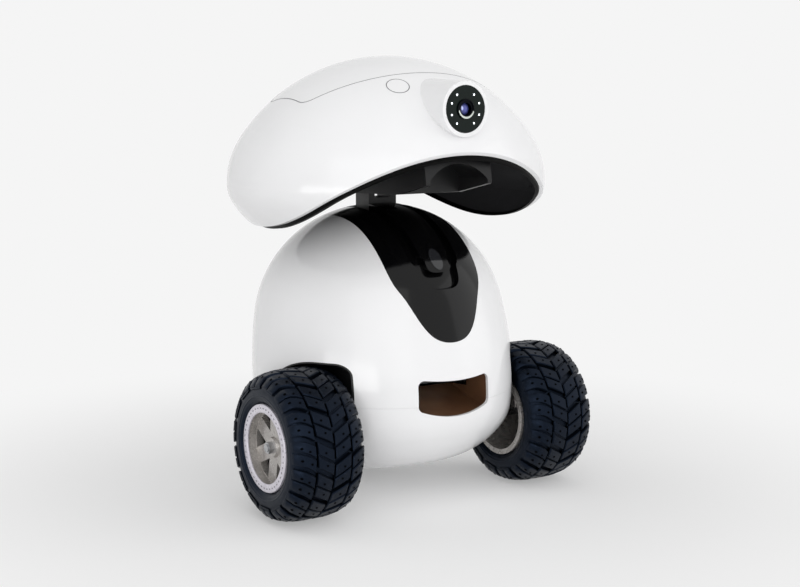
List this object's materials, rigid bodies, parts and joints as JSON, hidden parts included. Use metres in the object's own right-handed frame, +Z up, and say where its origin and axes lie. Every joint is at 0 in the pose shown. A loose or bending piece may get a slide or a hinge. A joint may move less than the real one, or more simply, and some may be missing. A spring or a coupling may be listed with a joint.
{
  "type": "robotic pet camera",
  "caption": "Two-wheeled robotic pet camera: egg-shaped body with treat outlet, domed nodding head with camera and infrared lamps, opening crown lid, rear hopper door and tail caster.",
  "frame": {"origin": "on the floor, under the middle of the whole robot as seen from above", "axes": "+X towards the robot's left wheel, +Y towards its back, +Z up from the floor; the camera looks along -Y"},
  "size_m": [0.278, 0.2266, 0.3487],
  "materials": {
    "white_gloss": "moulded plastic, glossy white, smooth",
    "black_gloss": "moulded plastic, piano black, polished",
    "black_satin": "moulded plastic, black, fine satin texture",
    "tyre_rubber": "moulded rubber, blue-black, slight sheen",
    "rim_silver": "metallic silver paint, satin",
    "bright_ring": "bright plated ring",
    "steel": "turned steel",
    "motor_can": "drawn steel can",
    "brass_post": "turned brass",
    "camera_black": "green-black polished cover",
    "lamp_clear": "clear lamp caps",
    "lens_glass": "coated lens glass, violet-blue",
    "window_smoke": "smoked sensor window",
    "board_green": "solder mask on board laminate",
    "battery_blue": "heat-shrink sleeve, blue",
    "chute_brown": "moulded plastic, dark brown",
    "hopper_grey": "moulded plastic, natural grey",
    "gear_white": "natural nylon"
  },
  "bodies": {
    "base": {"upper_shell": "white_gloss", "lower_tub": "white_gloss", "bib": "black_gloss", "spine_cover": "black_gloss", "sensor_window": "window_smoke", "left_wheel_liner": "black_satin", "right_wheel_liner": "black_satin", "chassis_plate": "black_satin", "chassis_screws": "steel", "left_gear_motor": "motor_can", "right_gear_motor": "motor_can", "motor_brackets": "steel", "battery_pack": "battery_blue", "main_board": "board_green", "board_standoffs": "brass_post", "hopper_tank": "hopper_grey", "treat_chute": "chute_brown", "rotor_motor": "motor_can", "speaker": "black_satin", "charging_socket": "black_satin", "neck_yoke": "black_satin", "nod_pin": "steel", "caster_housing": "black_satin", "door_pin": "steel"},
    "hopper_door": {"hopper_door": "white_gloss"},
    "treat_rotor": {"treat_rotor": "gear_white", "rotor_shaft": "steel", "rotor_gear": "gear_white"},
    "motor_pinion": {"motor_pinion": "gear_white"},
    "left_wheel": {"left_tyre": "tyre_rubber", "left_rim": "rim_silver", "left_bead_ring": "bright_ring", "left_hex_hub": "steel", "left_axle": "steel", "left_wheel_nut": "steel"},
    "right_wheel": {"right_tyre": "tyre_rubber", "right_rim": "rim_silver", "right_bead_ring": "bright_ring", "right_hex_hub": "steel", "right_axle": "steel", "right_wheel_nut": "steel"},
    "caster_fork": {"caster_fork": "black_satin", "caster_axle": "steel"},
    "caster_wheel": {"caster_wheel": "tyre_rubber"},
    "head": {"head_shell": "white_gloss", "head_lining": "black_satin", "chin_box": "black_satin", "crown_tray": "hopper_grey", "camera_plate": "camera_black", "ir_lamps": "lamp_clear", "lens_barrel": "black_gloss", "lens_glass": "lens_glass", "camera_module": "board_green", "head_board": "board_green", "nod_servo": "black_satin", "button_switch": "black_satin", "crown_pin": "steel"},
    "crown_lid": {"crown_lid": "white_gloss"},
    "power_button": {"power_button": "white_gloss"}
  },
  "joints": [
    {"name": "left_wheel_spin", "type": "hinge", "parent": "base", "child": "left_wheel", "pos_m": [0.1082, -0.04574, 0.0575], "axis": [1, 0, 0], "continuous": true},
    {"name": "right_wheel_spin", "type": "hinge", "parent": "base", "child": "right_wheel", "pos_m": [-0.1082, -0.04574, 0.0575], "axis": [1, 0, 0], "continuous": true},
    {"name": "head_nod", "type": "hinge", "parent": "base", "child": "head", "pos_m": [0, 0.01456, 0.253], "axis": [1, 0, 0], "range_deg": [-12, 18]},
    {"name": "crown_lid_open", "type": "hinge", "parent": "head", "child": "crown_lid", "pos_m": [0, 0.05386, 0.3316], "axis": [-1, 0, 0], "range_deg": [0, 70]},
    {"name": "power_button_press", "type": "slide", "parent": "head", "child": "power_button", "axis": [0.2096, 0.5442, -0.8123], "range_m": [0, 0.001], "stiffness_N_per_m": 800, "springref_m": -0.0012},
    {"name": "hopper_door_open", "type": "hinge", "parent": "base", "child": "hopper_door", "pos_m": [0, 0.1109, 0.1365], "axis": [-1, 0, 0], "range_deg": [0, 75]},
    {"name": "treat_rotor_turn", "type": "hinge", "parent": "base", "child": "treat_rotor", "pos_m": [0, -0.04114, 0.116], "axis": [1, 0, 0], "continuous": true},
    {"name": "motor_pinion_turn", "type": "hinge", "parent": "base", "child": "motor_pinion", "pos_m": [0.06, -0.01899, 0.116], "axis": [1, 0, 0], "continuous": true},
    {"name": "caster_swivel", "type": "hinge", "parent": "base", "child": "caster_fork", "pos_m": [0, 0.04286, 0.04], "axis": [0, 0, 1], "continuous": true},
    {"name": "caster_wheel_roll", "type": "hinge", "parent": "caster_fork", "child": "caster_wheel", "pos_m": [0, 0.05086, 0.013], "axis": [1, 0, 0], "continuous": true}
  ],
  "couplings": [
    {"joint": "motor_pinion_turn", "follows": "treat_rotor_turn", "ratio": -2.6667}
  ]
}
